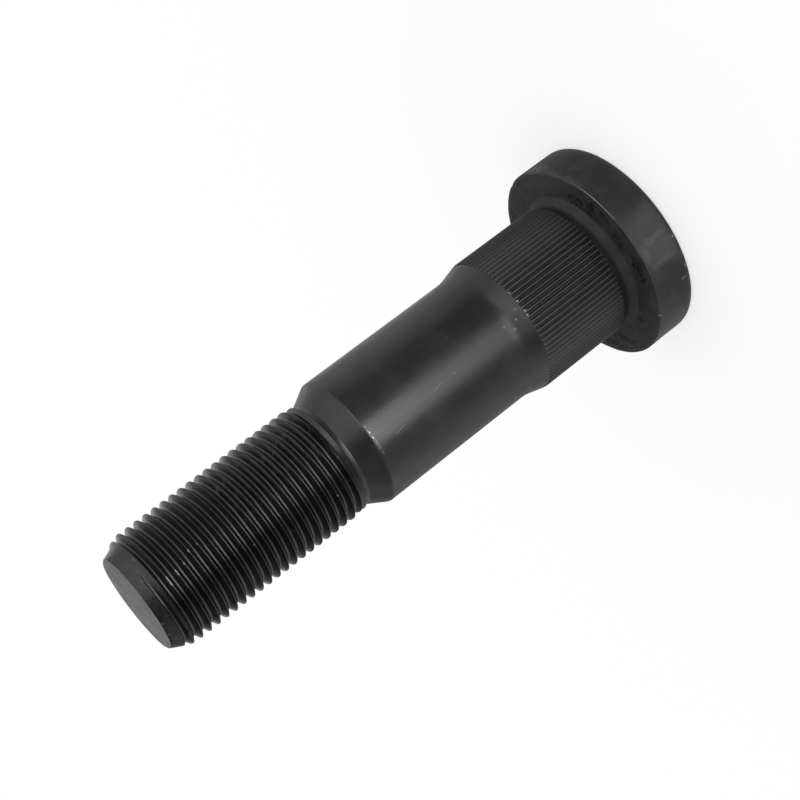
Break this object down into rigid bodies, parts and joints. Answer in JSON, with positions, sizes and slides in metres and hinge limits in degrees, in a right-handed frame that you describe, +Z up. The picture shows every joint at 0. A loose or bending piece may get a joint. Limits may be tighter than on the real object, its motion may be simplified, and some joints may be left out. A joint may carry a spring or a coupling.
{
  "type": "wheel stud",
  "caption": "Press-in wheel stud: round flat head, serrated band that grips the hub, plain shank and a fine right-hand thread for the wheel nut, in black coated steel.",
  "frame": {"origin": "centre of the head's flat back face, on which the stud stands", "axes": "+Z up the stud's axis, from the head to the thread's end; X and Y are free, since the stud is round"},
  "size_m": [0.0396, 0.0396, 0.1108],
  "materials": {
    "black_steel": "black phosphate coated forged steel, satin, with handling scuffs"
  },
  "bodies": {
    "root": {"wheel_stud": "black_steel"}
  },
  "joints": []
}
